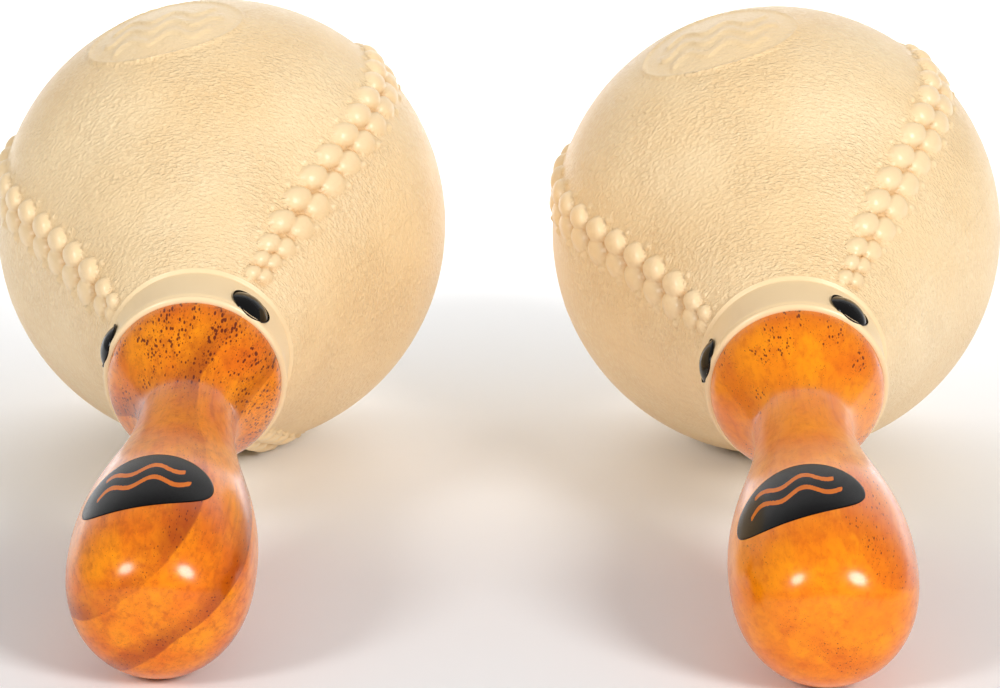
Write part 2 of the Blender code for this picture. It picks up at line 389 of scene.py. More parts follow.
@dataclass(frozen=True)
class MouldedSkin:
    """Cream moulded plastic with a leather grain, worn to a satin on everything that stands up."""

    cream: tuple = paint(243, 210, 159)
    pale: tuple = paint(248, 221, 176)
    # hollow: a darker cream used as painted shade in the wrinkles' valleys, the stitches' creases
    # and the parting groove.
    hollow: tuple = paint(214, 166, 108)
    smooth_cream: tuple = paint(240, 212, 168)
    wrinkle_length: float = 1.15
    wrinkle_pitch: float = 0.46

    def make(self) -> bpy.types.Material:
        """Builds the material.

        Returns:
            The material: wrinkles run round the head, broken by finer pores, and fade where the
            value "plain" is 1; painted shade darkens the wrinkles' valleys, and darkens the creases
            between the stitches by the value "hollow".
        """
        n = Nodes("moulded_skin")
        grain, plain, hollow = n.value("grain", "Vector"), n.value("plain"), n.value("hollow")
        long, fine = 1.0 / self.wrinkle_length, 1.0 / self.wrinkle_pitch
        wrinkle = n.noise(grain, (fine, long, long), 1.5, 0.5, 0.5)
        ridge = n.step(wrinkle, 0.36, 0.64)
        pebble = n.noise(n.own(), (1500.0,) * 3, 1.0, 0.5, 0.4)
        fade = n.noise(n.own(), (70.0,) * 3, 1.0, 0.5)
        grained = n.calc("SUBTRACT", 1.0, plain)
        share = n.times(grained, n.step(fade, 0.25, 0.7, 0.45, 1.0))
        deep = n.times(ridge, share)
        pores = n.times(n.step(pebble, 0.3, 0.7), grained)
        normal = n.bump(deep, 0.2, 0.75, n.bump(pores, 0.14, 0.7))
        cloud = n.noise(n.own(), (28.0,) * 3, 3.0, 0.55)
        colour = n.blend(n.step(cloud, 0.3, 0.7), self.cream, self.pale)
        # Painted shade: the wrinkles' valleys are darkened towards the hollow colour.
        tone = n.times(n.calc("SUBTRACT", 1.0, ridge), n.times(share, 0.22))
        colour = n.blend(tone, colour, self.hollow)
        colour = n.blend(n.times(plain, 0.5), colour, self.smooth_cream)
        # Painted shade: the stitches' creases and the parting groove are darkened by the value
        # hollow.
        colour = n.blend(n.times(hollow, 0.6), colour, self.hollow)
        rough = n.calc("SUBTRACT", n.step(deep, 0.0, 1.0, 0.46, 0.36), n.times(plain, 0.12))
        n.finish(colour, rough, normal, IOR=1.5, Coat_Weight=0.12, Coat_Roughness=0.22)
        return n.material


@dataclass(frozen=True)
class VarnishedWood:
    """Amber varnish over an open-pored hardwood with growth bands that cross the handle."""

    name: str
    amber: tuple
    honey: tuple
    band: tuple
    slant: tuple
    pitch: float
    shift: float
    band_share: float
    pore_share: float
    crowding: float
    wander: float = 3.0
    pore: tuple = paint(92, 26, 2)

    def make(self) -> bpy.types.Material:
        """Builds the material.

        Returns:
            The material. A band's place is slant . (across, up, reach) + a slow wander; its tone
            darkens up to a sharp edge once per pitch. Pores are long thin cells along the grain,
            so they show as dashes on the flanks and as dots where the grain is cut across.
        """
        n = Nodes(self.name)
        own = n.value("own", "Vector")
        across, up, reach = n.split(own)[:3]
        wander = n.noise(own, (0.06, 0.06, 0.025), 2.0, 0.5)
        place = self.shift
        for term, weight in zip((across, up, reach, wander), (*self.slant, self.wander)):
            place = n.calc("MULTIPLY_ADD", term, weight, place)
        ring = n.calc("FRACT", n.calc("DIVIDE", place, self.pitch))
        dark = n.times(n.step(ring, 0.5, 0.88), n.step(ring, 0.965, 1.0, 1.0, 0.0))
        fade = n.noise(own, (0.05, 0.05, 0.012), 1.0, 0.5)
        dark = n.times(dark, n.step(fade, 0.42, 0.56, 0.4, 1.0))
        streak = n.noise(own, (1.1, 1.1, 0.07), 4.0, 0.6, 0.3)
        cloud = n.noise(own, (0.13, 0.13, 0.05), 3.0, 0.6)
        mottle = n.noise(own, (0.45, 0.45, 0.3), 3.0, 0.65)
        colour = n.blend(n.step(cloud, 0.3, 0.7), self.amber, self.honey)
        colour = n.blend(n.step(mottle, 0.45, 0.75, 0.0, 0.35), colour, self.band)
        colour = n.blend(n.step(streak, 0.42, 0.8, 0.0, 0.45), colour, self.band)
        colour = n.blend(n.times(dark, self.band_share), colour, self.band)
        crowd = n.noise(own, (0.17, 0.17, 0.02), 2.0, 0.5)
        crowd = n.step(crowd, self.crowding - 0.1, self.crowding + 0.1)
        flare = n.step(reach, 76.0, 96.0, 1.0, 0.25)
        size = n.times(n.times(crowd, flare), self.pore_share)
        size = n.calc("ADD", size, n.times(dark, 0.14))
        cell = n.cells(own, (1.45, 1.45, 0.36))
        pore = n.step(n.calc("SUBTRACT", size, cell), -0.04, 0.05)
        small = n.cells(own, (2.5, 2.5, 0.7))
        room = n.calc("SUBTRACT", n.calc("MULTIPLY_ADD", size, 0.6, 0.1), small)
        fleck = n.step(room, -0.06, 0.06, 0.0, 0.5)
        marks = n.calc("MAXIMUM", pore, fleck)
        colour = n.blend(n.times(marks, 0.9), colour, self.pore)
        normal = n.bump(n.calc("SUBTRACT", 1.0, marks), 0.05, 0.3)
        ripple = n.noise(own, (0.5, 0.5, 0.25), 2.0, 0.5)
        normal = n.bump(ripple, 0.06, 0.25, normal)
        n.finish(
            colour,
            n.step(mottle, 0.3, 0.7, 0.35, 0.45),
            normal,
            IOR=1.5,
            Specular_IOR_Level=0.03,
            Coat_Weight=1.0,
            Coat_Roughness=0.19,
            Coat_IOR=1.43,
        )
        return n.material


@dataclass(frozen=True)
class GlossBlack:
    """Thick black enamel over a pressed steel tack."""

    def make(self) -> bpy.types.Material:
        """Builds the material, with faint dust and a slight orange peel."""
        n = Nodes("gloss_black")
        dust = n.noise(n.own(), (2600.0,) * 3, 2.0, 0.6)
        peel = n.noise(n.own(), (900.0,) * 3, 2.0, 0.5)
        colour = n.blend(n.step(dust, 0.6, 0.85, 0.0, 0.3), paint(4, 3, 3), paint(40, 34, 30))
        n.finish(
            colour,
            n.step(dust, 0.4, 0.8, 0.09, 0.2),
            n.bump(peel, 0.02, 0.2),
            IOR=1.38,
        )
        return n.material


@dataclass(frozen=True)
class PrintedFilm:
    """Black printed film under the varnish, with plain waves left as wood."""

    def make(self) -> bpy.types.Material:
        """Builds the material from the film's own value "motif", which is 1 on the bare lines."""
        n = Nodes("printed_film")
        motif, own = n.value("motif"), n.value("own", "Vector")
        grain = n.noise(own, (0.5, 0.5, 0.12), 3.0, 0.6)
        wood = n.blend(grain, paint(226, 122, 20), paint(196, 92, 14))
        speck = n.noise(own, (3.2, 3.2, 1.6), 3.0, 0.6)
        ink = n.blend(n.step(speck, 0.6, 0.85, 0.0, 0.5), paint(8, 7, 8), paint(40, 30, 24))
        colour = n.blend(n.step(motif, 0.42, 0.58), ink, wood)
        ripple = n.noise(own, (0.5, 0.5, 0.25), 2.0, 0.5)
        n.finish(
            colour,
            n.step(speck, 0.3, 0.8, 0.18, 0.28),
            n.bump(ripple, 0.06, 0.25),
            IOR=1.2,
        )
        return n.material


@dataclass(frozen=True)
class PelletPlastic:
    """Off-white plastic shot, scuffed from rattling."""

    def make(self) -> bpy.types.Material:
        """Builds the material, with fine scuffs in its colour, roughness and surface."""
        n = Nodes("pellet_plastic")
        scuff = n.noise(n.own(), (1400.0,) * 3, 3.0, 0.65)
        colour = n.blend(scuff, paint(231, 225, 209), paint(214, 205, 184))
        n.finish(colour, n.step(scuff, 0.3, 0.7, 0.4, 0.65), n.bump(scuff, 0.05, 0.3))
        return n.material


# Sub-assemblies


@dataclass
class Stitching:
    """One raised row of moulded stitches: a domed bead and a flatter one on each stitch.

    A stitch lies across the seam and slants the same way round the head on every seam. Along a
    seam, distances run from the collar to the crown; across it, from the seam's line to its
    domed side.
    """

    slant: float = 0.42
    pitch: float = 6.7
    first_pitches: tuple = (1.7, 4.1, 6.5)
    dome: tuple = (2.6, 3.05, 1.75)
    flat: tuple = (2.45, 2.95, 1.15)
    dome_offset: float = 2.15
    flat_offset: float = 2.1
    reach_of_band: float = 6.4
    steady_stitches: int = 18
    crown_fade: tuple = (104.0, 120.0)
    # A thread's pinch by each bead: its place across and along, its height and its half width.
    pinches: tuple = ((-4.6, 3.4, 0.75, 1.0), (5.1, 1.0, 0.5, 0.8))

    def beads(self) -> Array:
        """Where each stitch's middle lies along the seam, closer together by the collar."""
        steady = np.full(self.steady_stitches, self.pitch)
        return np.cumsum(np.concatenate((self.first_pitches, steady)))

    def relief(self, along: Array, across: Array) -> tuple[Array, Array]:
        """How high the stitches stand, and how deep in a crease each place is.

        A bead's height is h * (1 - q^2)^0.5, where q is the distance from its middle over its
        half length and half width; the highest bead at a place counts.

        Args:
            along: Distances from the collar along the seam.
            across: Distances from the seam's line, positive on its domed side.

        Returns:
            Heights in millimetres, and crease shares from 0 to 1; the crease shares also set the
            painted shade in the creases.
        """
        middles = self.beads()
        number = np.interp(along, middles, np.arange(len(middles)))
        gaps = np.gradient(middles)
        height = np.zeros_like(along)
        for neighbour in (-1, 0, 1):
            index = np.clip(np.round(number).astype(int) + neighbour, 0, len(middles) - 1)
            size = np.clip(gaps[index] / self.pitch, 0.5, 1.0)
            shrink = smooth(self.crown_fade[0] - 30.0, self.crown_fade[1], middles[index])
            size *= 1.0 - 0.45 * shrink
            a = (along - middles[index]) / size
            b = across / size
            way = math.copysign(1.0, -self.slant)
            for half_long, half_wide, tall, middle, sign in (
                (*self.dome, self.dome_offset, 1.0),
                (*self.flat, -self.flat_offset, -1.0),
            ):
                out = (b - middle) * sign / half_long
                width = half_wide * (1.0 - 0.25 * np.clip(out, -0.2, 1.0))
                power = 2.1 if sign > 0 else 2.6
                slid = a - self.slant * (0.65 * middle + 0.35 * b)
                q = np.abs(out) ** power + np.abs(slid / width) ** power
                bead = tall * size * np.sqrt(np.clip(1.0 - q, 0.0, 1.0))
                if sign < 0:
                    bead = bead * (1.0 - 0.35 * smooth(0.0, 1.0, out))
                height = np.maximum(height, bead)
            for place, on, lift, wide in self.pinches:
                q = ((b - place) / wide) ** 2 + ((a - on * way) / (wide * 0.9)) ** 2
                height = np.maximum(height, lift * size * np.clip(1.0 - q, 0.0, 1.0))
        inside = 1.0 - smooth(1.4, 3.3, np.abs(across))
        # The crease share both sinks the surface a little and sets the painted shade between the
        # beads.
        crease = inside * np.exp(-((height / 0.42) ** 2))
        dip = -0.2 * crease
        fade = 1.0 - smooth(*self.crown_fade, along)
        fade = fade * smooth(-0.2, 1.2, along)
        return (height + dip) * fade, crease * fade


@dataclass
class Panel:
    """The raised oval on top of the head, with a fine border and three plain waves.

    wave is a wave's size, length, lift and half width; waves gives each one's offset and ends.
    """

    half_round: float = 16.0
    half_long: float = 12.4
    middle_turn: float = -2.0
    middle_reach: float = 1.6
    border: float = 0.42
    border_width: float = 0.42
    wave: tuple = (1.5, 8.6, 0.32, 1.15)
    waves: tuple = ((-4.2, 10.5), (0.6, 12.2), (5.4, 10.0))

    def relief(self, across: Array, along: Array) -> tuple[Array, Array]:
        """How high the panel's border and waves stand, and where it is smooth.

        The border is a ridge where (across / half_round)^2 + (along / half_long)^2 = 1, and a
        wave is a band about along = offset + size * sin(2 pi across / length).

        Args:
            across: Distances round the head from the panel's middle.
            along: Distances along the head from the panel's middle, towards the collar.

        Returns:
            Heights in millimetres, and smooth shares from 0 to 1.
        """
        oval = np.hypot(across / self.half_round, along / self.half_long)
        from_edge = (oval - 1.0) * (self.half_round + self.half_long) / 2.0
        height = self.border * np.exp(-((from_edge / self.border_width) ** 2))
        inside = smooth(0.3, -0.5, from_edge)
        size, length, lift, half_band = self.wave
        for offset, ends in self.waves:
            line = offset + size * np.sin(2.0 * math.pi * across / length)
            band = smooth(half_band + 0.22, half_band - 0.22, np.abs(along - line))
            band = band * smooth(ends + 0.3, ends - 0.3, np.abs(across))
            height = np.maximum(height, lift * band)
        return height + 0.06 * inside, inside * 0.55


@dataclass
class Head:
    """A maraca's head: two half shells with a collar for the handle."""

    lie: Lie
    radius: float = 45.0
    crown_rise: float = 2.4
    wall: float = 2.5
    neck_angle: float = 59.4
    collar_reach: float = 59.5
    collar_length: float = 11.5
    collar_radius: float = 16.9
    neck_end_radius: float = 17.1
    lip: float = 0.85
    left_seam: tuple = (60.0, 13.2)
    right_seam: tuple = (62.2, 10.6)
    left_stitches: Stitching = field(default_factory=Stitching)
    right_stitches: Stitching = field(
        default_factory=lambda: Stitching(
            slant=-0.42, pitch=6.6, first_pitches=(2.5, 3.9, 4.2, 6.1)
        )
    )
    panel_half_turn: float = 25.0
    parting_turn: float = 89.98
    seam_half_width: float = 7.0
    floor_gap: float = 0.02
    panel: Panel = field(default_factory=Panel)

    @property
    def rim_reach(self) -> float:
        """Where the collar ends."""
        return self.collar_reach + self.collar_length

    def skin(self) -> tuple[Array, Array]:
        """The outline of the outside, from the crown's pole over the collar's lip.

        A quarter oval for the crown, an arc of the sphere, a straight neck, a fine raised line
        where the neck ends, the collar, and a rounded lip.

        Returns:
            Rows of (reach, radius), and the distance along the outline at each row.
        """
        turn = np.linspace(0.0, 1.0, 165) * math.pi / 2.0
        crown = self.radius + self.crown_rise
        rows = [pairs(-crown * np.cos(turn), self.radius * np.sin(turn))]
        neck = math.radians(self.neck_angle)
        turn = np.linspace(math.pi / 2.0, neck, 58)[1:]
        rows.append(self.radius * pairs(np.cos(turn), np.sin(turn)))
        start = np.array((math.cos(neck), math.sin(neck))) * self.radius
        neck_end = self.neck_end_radius + 0.29
        end = np.array((self.collar_reach - 0.5, neck_end))
        share = np.linspace(0.0, 1.0, 98)[1:, None]
        rows.append(start + (end - start) * share)
        line = np.linspace(-1.0, 1.0, 9)[1:]
        reach = self.collar_reach + 0.05 + 0.45 * line
        fall = smooth(-0.2, 1.0, line)
        radius = neck_end * (1 - fall) + self.collar_radius * fall
        rows.append(pairs(reach, radius + 0.28 * (1 - line**2)))
        reach = np.linspace(self.collar_reach + 0.8, self.rim_reach - 1.25, 9)
        rows.append(pairs(reach, np.full_like(reach, self.collar_radius)))
        turn = np.linspace(-0.5, 1.15, 13) * math.pi / 2.0
        reach = self.rim_reach - 0.62 + 0.74 * np.sin(turn)
        radius = self.collar_radius - self.lip + 0.98 * np.cos(turn)
        rows.append(pairs(reach, radius))
        outline = np.concatenate(rows)
        steps = np.hypot(*np.diff(outline, axis=0).T)
        return outline, np.concatenate(((0.0,), np.cumsum(steps)))

    def cavity(self) -> Array:
        """The outline of the inside, from the collar's rim back to the crown's pole."""
        inner = self.radius - self.wall
        crown = inner + self.crown_rise
        neck = math.radians(self.neck_angle)
        tube = self.collar_radius - self.wall
        end = np.array((math.cos(neck), math.sin(neck))) * inner
        slope = math.tan(math.pi / 2.0 - neck)
        rows = [np.array(((self.rim_reach + 0.05, tube), (end[0] + (end[1] - tube) / slope, tube)))]
        turn = np.linspace(neck, math.pi / 2.0, 8)
        rows.append(inner * pairs(np.cos(turn), np.sin(turn)))
        turn = np.linspace(math.pi / 2.0, 0.0, 22)[1:]
        rows.append(pairs(-crown * np.cos(turn), inner * np.sin(turn)))
        return np.concatenate(rows)

    def seam_line(self, seam: tuple, reach: Array) -> Array:
        """How far a side seam's line is turned from the panel, closing in on it by the collar.

        Args:
            seam: The seam's turn on the ball and its drift by the collar, in degrees.
            reach: Distances along the axis.

        Returns:
            turn - drift * (reach / collar_reach) ^ 1.8, in degrees.
        """
        share = np.clip(reach / self.collar_reach, 0.0, 1.0)
        return seam[0] - seam[1] * share**1.8

    def columns(self, half: Half, outline: Array, band: float) -> Array:
        """The turns of a half shell's columns on each row, close together over the seams.

        Args:
            half: Which half shell.
            outline: Rows of (reach, radius).
            band: The stitches' half width in millimetres.

        Returns:
            Turns in degrees, one row for each row of the outline.
        """
        reach, radius = outline.T
        wide = np.degrees(np.arctan(band / np.maximum(radius, 1.0)))
        wide = np.minimum(wide, 19.0)
        edge = np.full_like(reach, self.parting_turn)
        lip = edge - np.minimum(np.degrees(1.3 / np.maximum(radius, 4.0)), 6.0)
        if half is Half.UPPER:
            right, left = (self.seam_line(s, reach) for s in (self.right_seam, self.left_seam))
            panel = np.full_like(reach, self.panel_half_turn)
            knots = [-edge, -lip, -right - wide, wide - right, -panel]
            knots += [panel, left - wide, left + wide, lip, edge]
            counts = [5, 13, 34, 16, 84, 16, 34, 13, 5]
        else:
            knots = [-edge, -lip, -wide, wide, lip, edge]
            counts = [5, 50, 34, 50, 5]
        parts = []
        for first, last, count in zip(knots, knots[1:], counts):
            share = np.linspace(0.0, 1.0, count + 1)[:-1]
            parts.append(first[:, None] + (last - first)[:, None] * share)
        parts.append(knots[-1][:, None])
        return np.concatenate(parts, 1) + half.middle

    def relief(self, half: Half, outline: Array, run: Array, turn: Array) -> dict:
        """The height, plainness and hollowness of the outside at each row and column.

        Args:
            half: Which half shell.
            outline: Rows of (reach, radius).
            run: The distance along the outline at each row.
            turn: Turns in degrees at each row and column.

        Returns:
            Arrays "height", "plain" and "hollow"; "hollow" is the share of painted shade in the
            creases and along the parting line.
        """
        reach, radius = spread(outline, turn.shape[1])
        end = np.interp(self.collar_reach - 0.9, outline[:, 0], run)
        along = end - np.repeat(run[:, None], turn.shape[1], 1)
        height, hollow = np.zeros_like(turn), np.zeros_like(turn)
        if half is Half.UPPER:
            seams = (
                (self.left_seam, 1.0, self.left_stitches),
                (self.right_seam, -1.0, self.right_stitches),
            )
        else:
            seams = (((180.0, 0.0), 1.0, self.right_stitches),)
        for seam, sign, stitches in seams:
            across = (self.seam_line(seam, reach) - sign * turn) * math.pi / 180.0 * radius
            rise, crease = stitches.relief(along, across)
            near = np.abs(across) < self.seam_half_width
            height = height + np.where(near, rise, 0.0)
            # Painted shade: the stitches' creases go into hollow.
            hollow = np.maximum(hollow, np.where(near, crease, 0.0))
        raised = np.clip(height / 0.5, 0.0, 1.0)
        on_collar = smooth(self.collar_reach - 0.7, self.collar_reach + 0.3, reach)
        plain = np.maximum(on_collar, 0.85 * raised)
        if half is Half.UPPER:
            equator = np.interp(self.panel.middle_reach, outline[:, 0], run)
            round_it = np.radians(turn - self.panel.middle_turn) * self.radius
            rise, flat = self.panel.relief(round_it, run[:, None] - equator + 0.0 * turn)
            height, plain = height + rise, np.maximum(plain, flat)
        edge = np.radians(self.parting_turn - np.abs(turn - half.middle)) * radius
        wander = 0.5 + 0.5 * np.sin(run[:, None] * 0.23) * np.sin(run[:, None] * 0.61 + 1.0)
        ridge = 0.05 * np.exp(-(((edge - 0.55) / 0.3) ** 2)) * wander
        groove = -0.02 * np.exp(-((edge / 0.28) ** 2))
        height = height + (ridge + groove) * (1.0 - 0.8 * on_collar) * smooth(2.0, 6.0, radius)
        # Painted shade: a faint darkening along the parting line's groove.
        hollow = np.maximum(hollow, 0.05 * np.exp(-((edge / 0.3) ** 2)))
        return {"height": height, "plain": plain, "hollow": hollow}

    def above_floor(
        self, height: Array, normal: Array, skin: Array, turn: Array
    ) -> Array:
        """Flattens the relief where the head rests, so that nothing goes through the floor.

        Args:
            height: The relief's height at each row and column.
            normal: The outline's outward direction at each row, as (reach, radius).
            skin: The outline's (reach, radius) at each row.
            turn: Turns in radians at each row and column.

        Returns:
            The height, cut to the share of it that stays above the floor.
        """
        reach, radius = spread(skin, turn.shape[1])
        low = self.lie.place(reach, radius, turn)[..., 2]
        raised = (reach + height * normal[:, :1], radius + height * normal[:, 1:])
        top = self.lie.place(*raised, turn)[..., 2]
        drop = np.maximum(low - top, 1e-6)
        share = np.clip((low - self.floor_gap) / drop, 0.0, 1.0)
        return np.where(top < self.floor_gap, height * share, height)

    def half_shell(self, half: Half, look: bpy.types.Material) -> bpy.types.Object:
        """One half shell: the outside with its relief, the inside, and the two parting faces.

        Args:
            half: Which half shell.
            look: Its finish.

        Returns:
            The new piece.
        """
        skin, run = self.skin()
        outline = np.concatenate((skin, self.cavity()))
        turn = self.columns(half, outline, self.left_stitches.reach_of_band)
        rows, columns = turn.shape
        outside = len(skin)
        relief = self.relief(half, skin, run, turn[:outside])
        tangent = np.gradient(skin, axis=0)
        tangent /= np.linalg.norm(tangent, axis=1, keepdims=True)
        normal = pairs(-tangent[:, 1], tangent[:, 0])
        normal[0] = (-1.0, 0.0)
        reach, radius = spread(outline, columns)
        radians = np.radians(turn)
        rise = self.above_floor(relief["height"], normal, skin, radians[:outside])
        reach[:outside] += rise * normal[:, :1]
        radius[:outside] += rise * normal[:, 1:]
        radius[0] = 0.0
        radius[-1] = 0.0
        own = np.zeros((rows, columns, 3))
        own[..., 0] = np.concatenate((run, np.full(rows - outside, run[-1])))[:, None]
        own[..., 1] = radius * np.cos(radians)
        own[..., 2] = radius * np.sin(radians)
        values = {"grain": own.reshape(-1, 3)}
        # hollow carries the painted crease shade to the finish.
        for label in ("plain", "hollow"):
            full = np.ones((rows, columns)) if label == "plain" else np.zeros((rows, columns))
            full[:outside] = relief[label]
            values[label] = full.ravel()
        faces = quads(rows, columns).tolist()
        first = (np.arange(rows) * columns).tolist()
        faces += [first, [corner + columns - 1 for corner in first][::-1]]
        name = f"{self.lie.side.value}_{half.word}_skin"
        piece = make_piece(name, self.lie.place(reach, radius, radians), faces, values, 60.0)
        piece.data.materials.append(look)
        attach(piece, self.lie.name)
        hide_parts(f"{self.lie.side.value}_{half.word}_shell")
        return piece

    def build(self, look: bpy.types.Material) -> list[bpy.types.Object]:
        """Builds both half shells."""
        return [self.half_shell(half, look) for half in Half]


@dataclass
class Handle:
    """The turned handle: its tenon, shoulder, waist and butt."""

    lie: Lie
    shoulder_reach: float = 71.14
    length: float = 91.66
    shoulder_radius: float = 16.1
    waist_place: float = 18.5
    waist_radius: float = 8.9
    butt_place: float = 69.0
    butt_radius: float = 16.0
    butt_fullness: float = 2.8
    tenon_length: float = 11.8
    tenon_radius: float = 14.1
    shoulder_round: float = 0.35
    columns: int = 176

    def grip_radius(self, distance: Array) -> Array:
        """The radius at distances from the shoulder: cosine eases, then a quarter oval.

        Args:
            distance: Distances from the shoulder.

        Returns:
            The radius at each.
        """
        neck = (1.0 - np.cos(math.pi * np.clip(distance / self.waist_place, 0.0, 1.0))) / 2.0
        span = self.butt_place - self.waist_place
        swell = np.clip((distance - self.waist_place) / span, 0.0, 1.0)
        swell = (1.0 - np.cos(math.pi * swell)) / 2.0
        radius = self.shoulder_radius + (self.waist_radius - self.shoulder_radius) * neck
        radius = radius + (self.butt_radius - self.waist_radius) * swell
        end = np.clip((distance - self.butt_place) / (self.length - self.butt_place), 0.0, 1.0)
        oval = (1.0 - end**self.butt_fullness) ** (1.0 / self.butt_fullness)
        return np.where(distance > self.butt_place, self.butt_radius * oval, radius)

    def outline(self) -> Array:
        """The outline from the tenon's end to the butt's pole."""
        start = self.shoulder_reach - self.tenon_length
        tenon, chamfer = self.tenon_radius, 0.8
        rows = [(start, 0.0), (start, tenon - chamfer), (start + chamfer, tenon)]
        rows += [(self.shoulder_reach, tenon)]
        bend = self.shoulder_round
        turn = np.linspace(0.0, math.pi / 2.0, 7)
        corner = pairs(
            self.shoulder_reach + bend - bend * np.cos(turn),
            self.shoulder_radius - bend + bend * np.sin(turn),
        )
        grip = np.linspace(bend, self.butt_place, 132)[1:]
        turn = np.linspace(0.0, math.pi / 2.0, 62)[1:]
        butt = self.butt_place + (self.length - self.butt_place) * np.sin(turn) ** (
            2.0 / self.butt_fullness
        )
        butt_radius = self.butt_radius * np.cos(turn) ** (2.0 / self.butt_fullness)
        butt_radius[-1] = 0.0
        distance = np.concatenate((grip, butt))
        radius = np.concatenate((self.grip_radius(grip), butt_radius))
        main = pairs(self.shoulder_reach + distance, radius)
        return np.concatenate((np.array(rows), corner, main))

    def build(self, look: bpy.types.Material) -> bpy.types.Object:
        """Turns the handle and gives it its finish."""
        name = f"{self.lie.side.value}_turned_handle"
        piece = turned(name, self.lie, self.outline(), self.columns)
        piece.data.materials.append(look)
        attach(piece, self.lie.name)
        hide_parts(f"{self.lie.side.value}_handle")
        return piece


@dataclass
class ButtFilm:
    """The oval printed film on the top of the butt."""

    handle: Handle
    middle_turn: float
    middle_reach: float = 139.7
    half_round: float = 12.6
    half_long: float = 9.5
    thickness: float = 0.06
    sunk: float = 0.05
    waves: tuple = ((-3.4, 7.2), (1.2, 8.4))

    def build(self, look: bpy.types.Material) -> bpy.types.Object:
        """Lays the film over the handle.

        The film is a disc grid: distance from its middle by direction. A point of the disc at
        (s * half_round, t * half_long) lies at middle_reach + t and at the turn whose arc is s.
        Its top stands a little proud of the wood and its underside is sunk in it.

        Args:
            look: Its finish.

        Returns:
            The new piece.
        """
        lie = self.handle.lie
        rings, spokes = 34, 128
        out = np.concatenate((np.linspace(0.0, 0.995, rings), (1.0, 1.0, 0.995, 0.5, 0.0)))
        lift = np.full(len(out), self.thickness)
        lift[rings:] = (0.02, -self.sunk, -self.sunk, -self.sunk, -self.sunk)
        direction = circle(spokes)
        s = out[:, None] * np.cos(direction) * self.half_round
        t = out[:, None] * np.sin(direction) * self.half_long
        reach = self.middle_reach + t
        under = self.handle.grip_radius(reach - self.handle.shoulder_reach)
        radius = under + lift[:, None]
        turn = math.radians(self.middle_turn) + s / self.handle.butt_radius
        motif = np.zeros_like(s)
        for offset, ends in self.waves:
            wave = offset + 1.2 * np.sin(2.0 * math.pi * s / 8.0)
            band = smooth(0.95, 0.65, np.abs(t - wave)) * smooth(ends + 0.2, ends - 0.2, np.abs(s))
            motif = np.maximum(motif, band)
        values = {"own": own_places(reach, radius, turn), "motif": motif.ravel()}
        faces = quads(len(out), spokes, True).tolist()
        name = f"{lie.side.value}_butt_film"
        piece = make_piece(name, lie.place(reach, radius, turn), faces, values, 50.0)
        piece.data.materials.append(look)
        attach(piece, lie.name)
        return piece


@dataclass
class Tack:
    """A dome tack through the collar: a hollow dome with a rolled edge on a pointed shank."""

    lie: Lie
    number: int
    turn: float
    reach: float = 66.8
    seat: float = 16.6
    dome_radius: float = 4.22
    dome_height: float = 1.75
    metal: float = 0.8
    shank_radius: float = 0.6
    shank_length: float = 12.0
    point_length: float = 2.0
    edge: float = 0.28
    columns: int = 64

    def outline(self) -> Array:
        """The outline from the shank's point round the dome: rows of (height, radius)."""
        bend = (self.dome_radius**2 + self.dome_height**2) / (2.0 * self.dome_height)
        tip = math.asin((self.dome_radius - self.edge * 0.4) / bend)
        turn = np.linspace(tip, 0.0, 26)
        low = self.dome_height - bend
        dome = pairs(low + bend * np.cos(turn), bend * np.sin(turn))
        dome[-1, 1] = 0.0
        roll = np.linspace(-math.pi / 2.0, math.pi * 0.2, 8)
        rolled = pairs(
            self.edge * (1.0 + np.sin(roll)),
            self.dome_radius - self.edge + self.edge * np.cos(roll),
        )
        hollow = self.dome_height - self.metal
        inner = self.dome_radius - self.metal
        rows = [(-self.shank_length, 0.0)]
        rows += [(self.point_length - self.shank_length, self.shank_radius)]
        rows += [(hollow, self.shank_radius), (hollow * 0.8, inner * 0.6), (0.02, inner)]
        return np.concatenate((np.array(rows), rolled, dome))

    def build(self, look: bpy.types.Material) -> bpy.types.Object:
        """Turns the tack and seats it on the collar.

        A tack's own axis points out of the collar at its turn: its point is at (height h, radius
        r, turn w) where the collar's place is reach + r cos w along the axis, seat + h outwards
        and r sin w sideways.

        Args:
            look: Its finish.

        Returns:
            The new piece.
        """
        height, radius = self.outline().T
        spin = circle(self.columns)
        along = self.reach + radius[:, None] * np.cos(spin)
        aside = radius[:, None] * np.sin(spin)
        out = self.seat + height[:, None] + 0.0 * aside
        axis, up, around = self.lie.directions()
        turn = math.radians(self.turn)
        outward = math.cos(turn) * up + math.sin(turn) * around
        sideways = -math.sin(turn) * up + math.cos(turn) * around
        points = (
            self.lie.centre
            + along[..., None] * axis
            + out[..., None] * outward
            + aside[..., None] * sideways
        )
        name = f"{self.lie.side.value}_dome_tack_{self.number}"
        faces = quads(len(height), self.columns, True).tolist()
        piece = make_piece(name, points, faces, {}, 50.0)
        piece.data.materials.append(look)
        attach(piece, self.lie.name)
        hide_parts(f"{self.lie.side.value}_tack_{self.number}")
        return piece


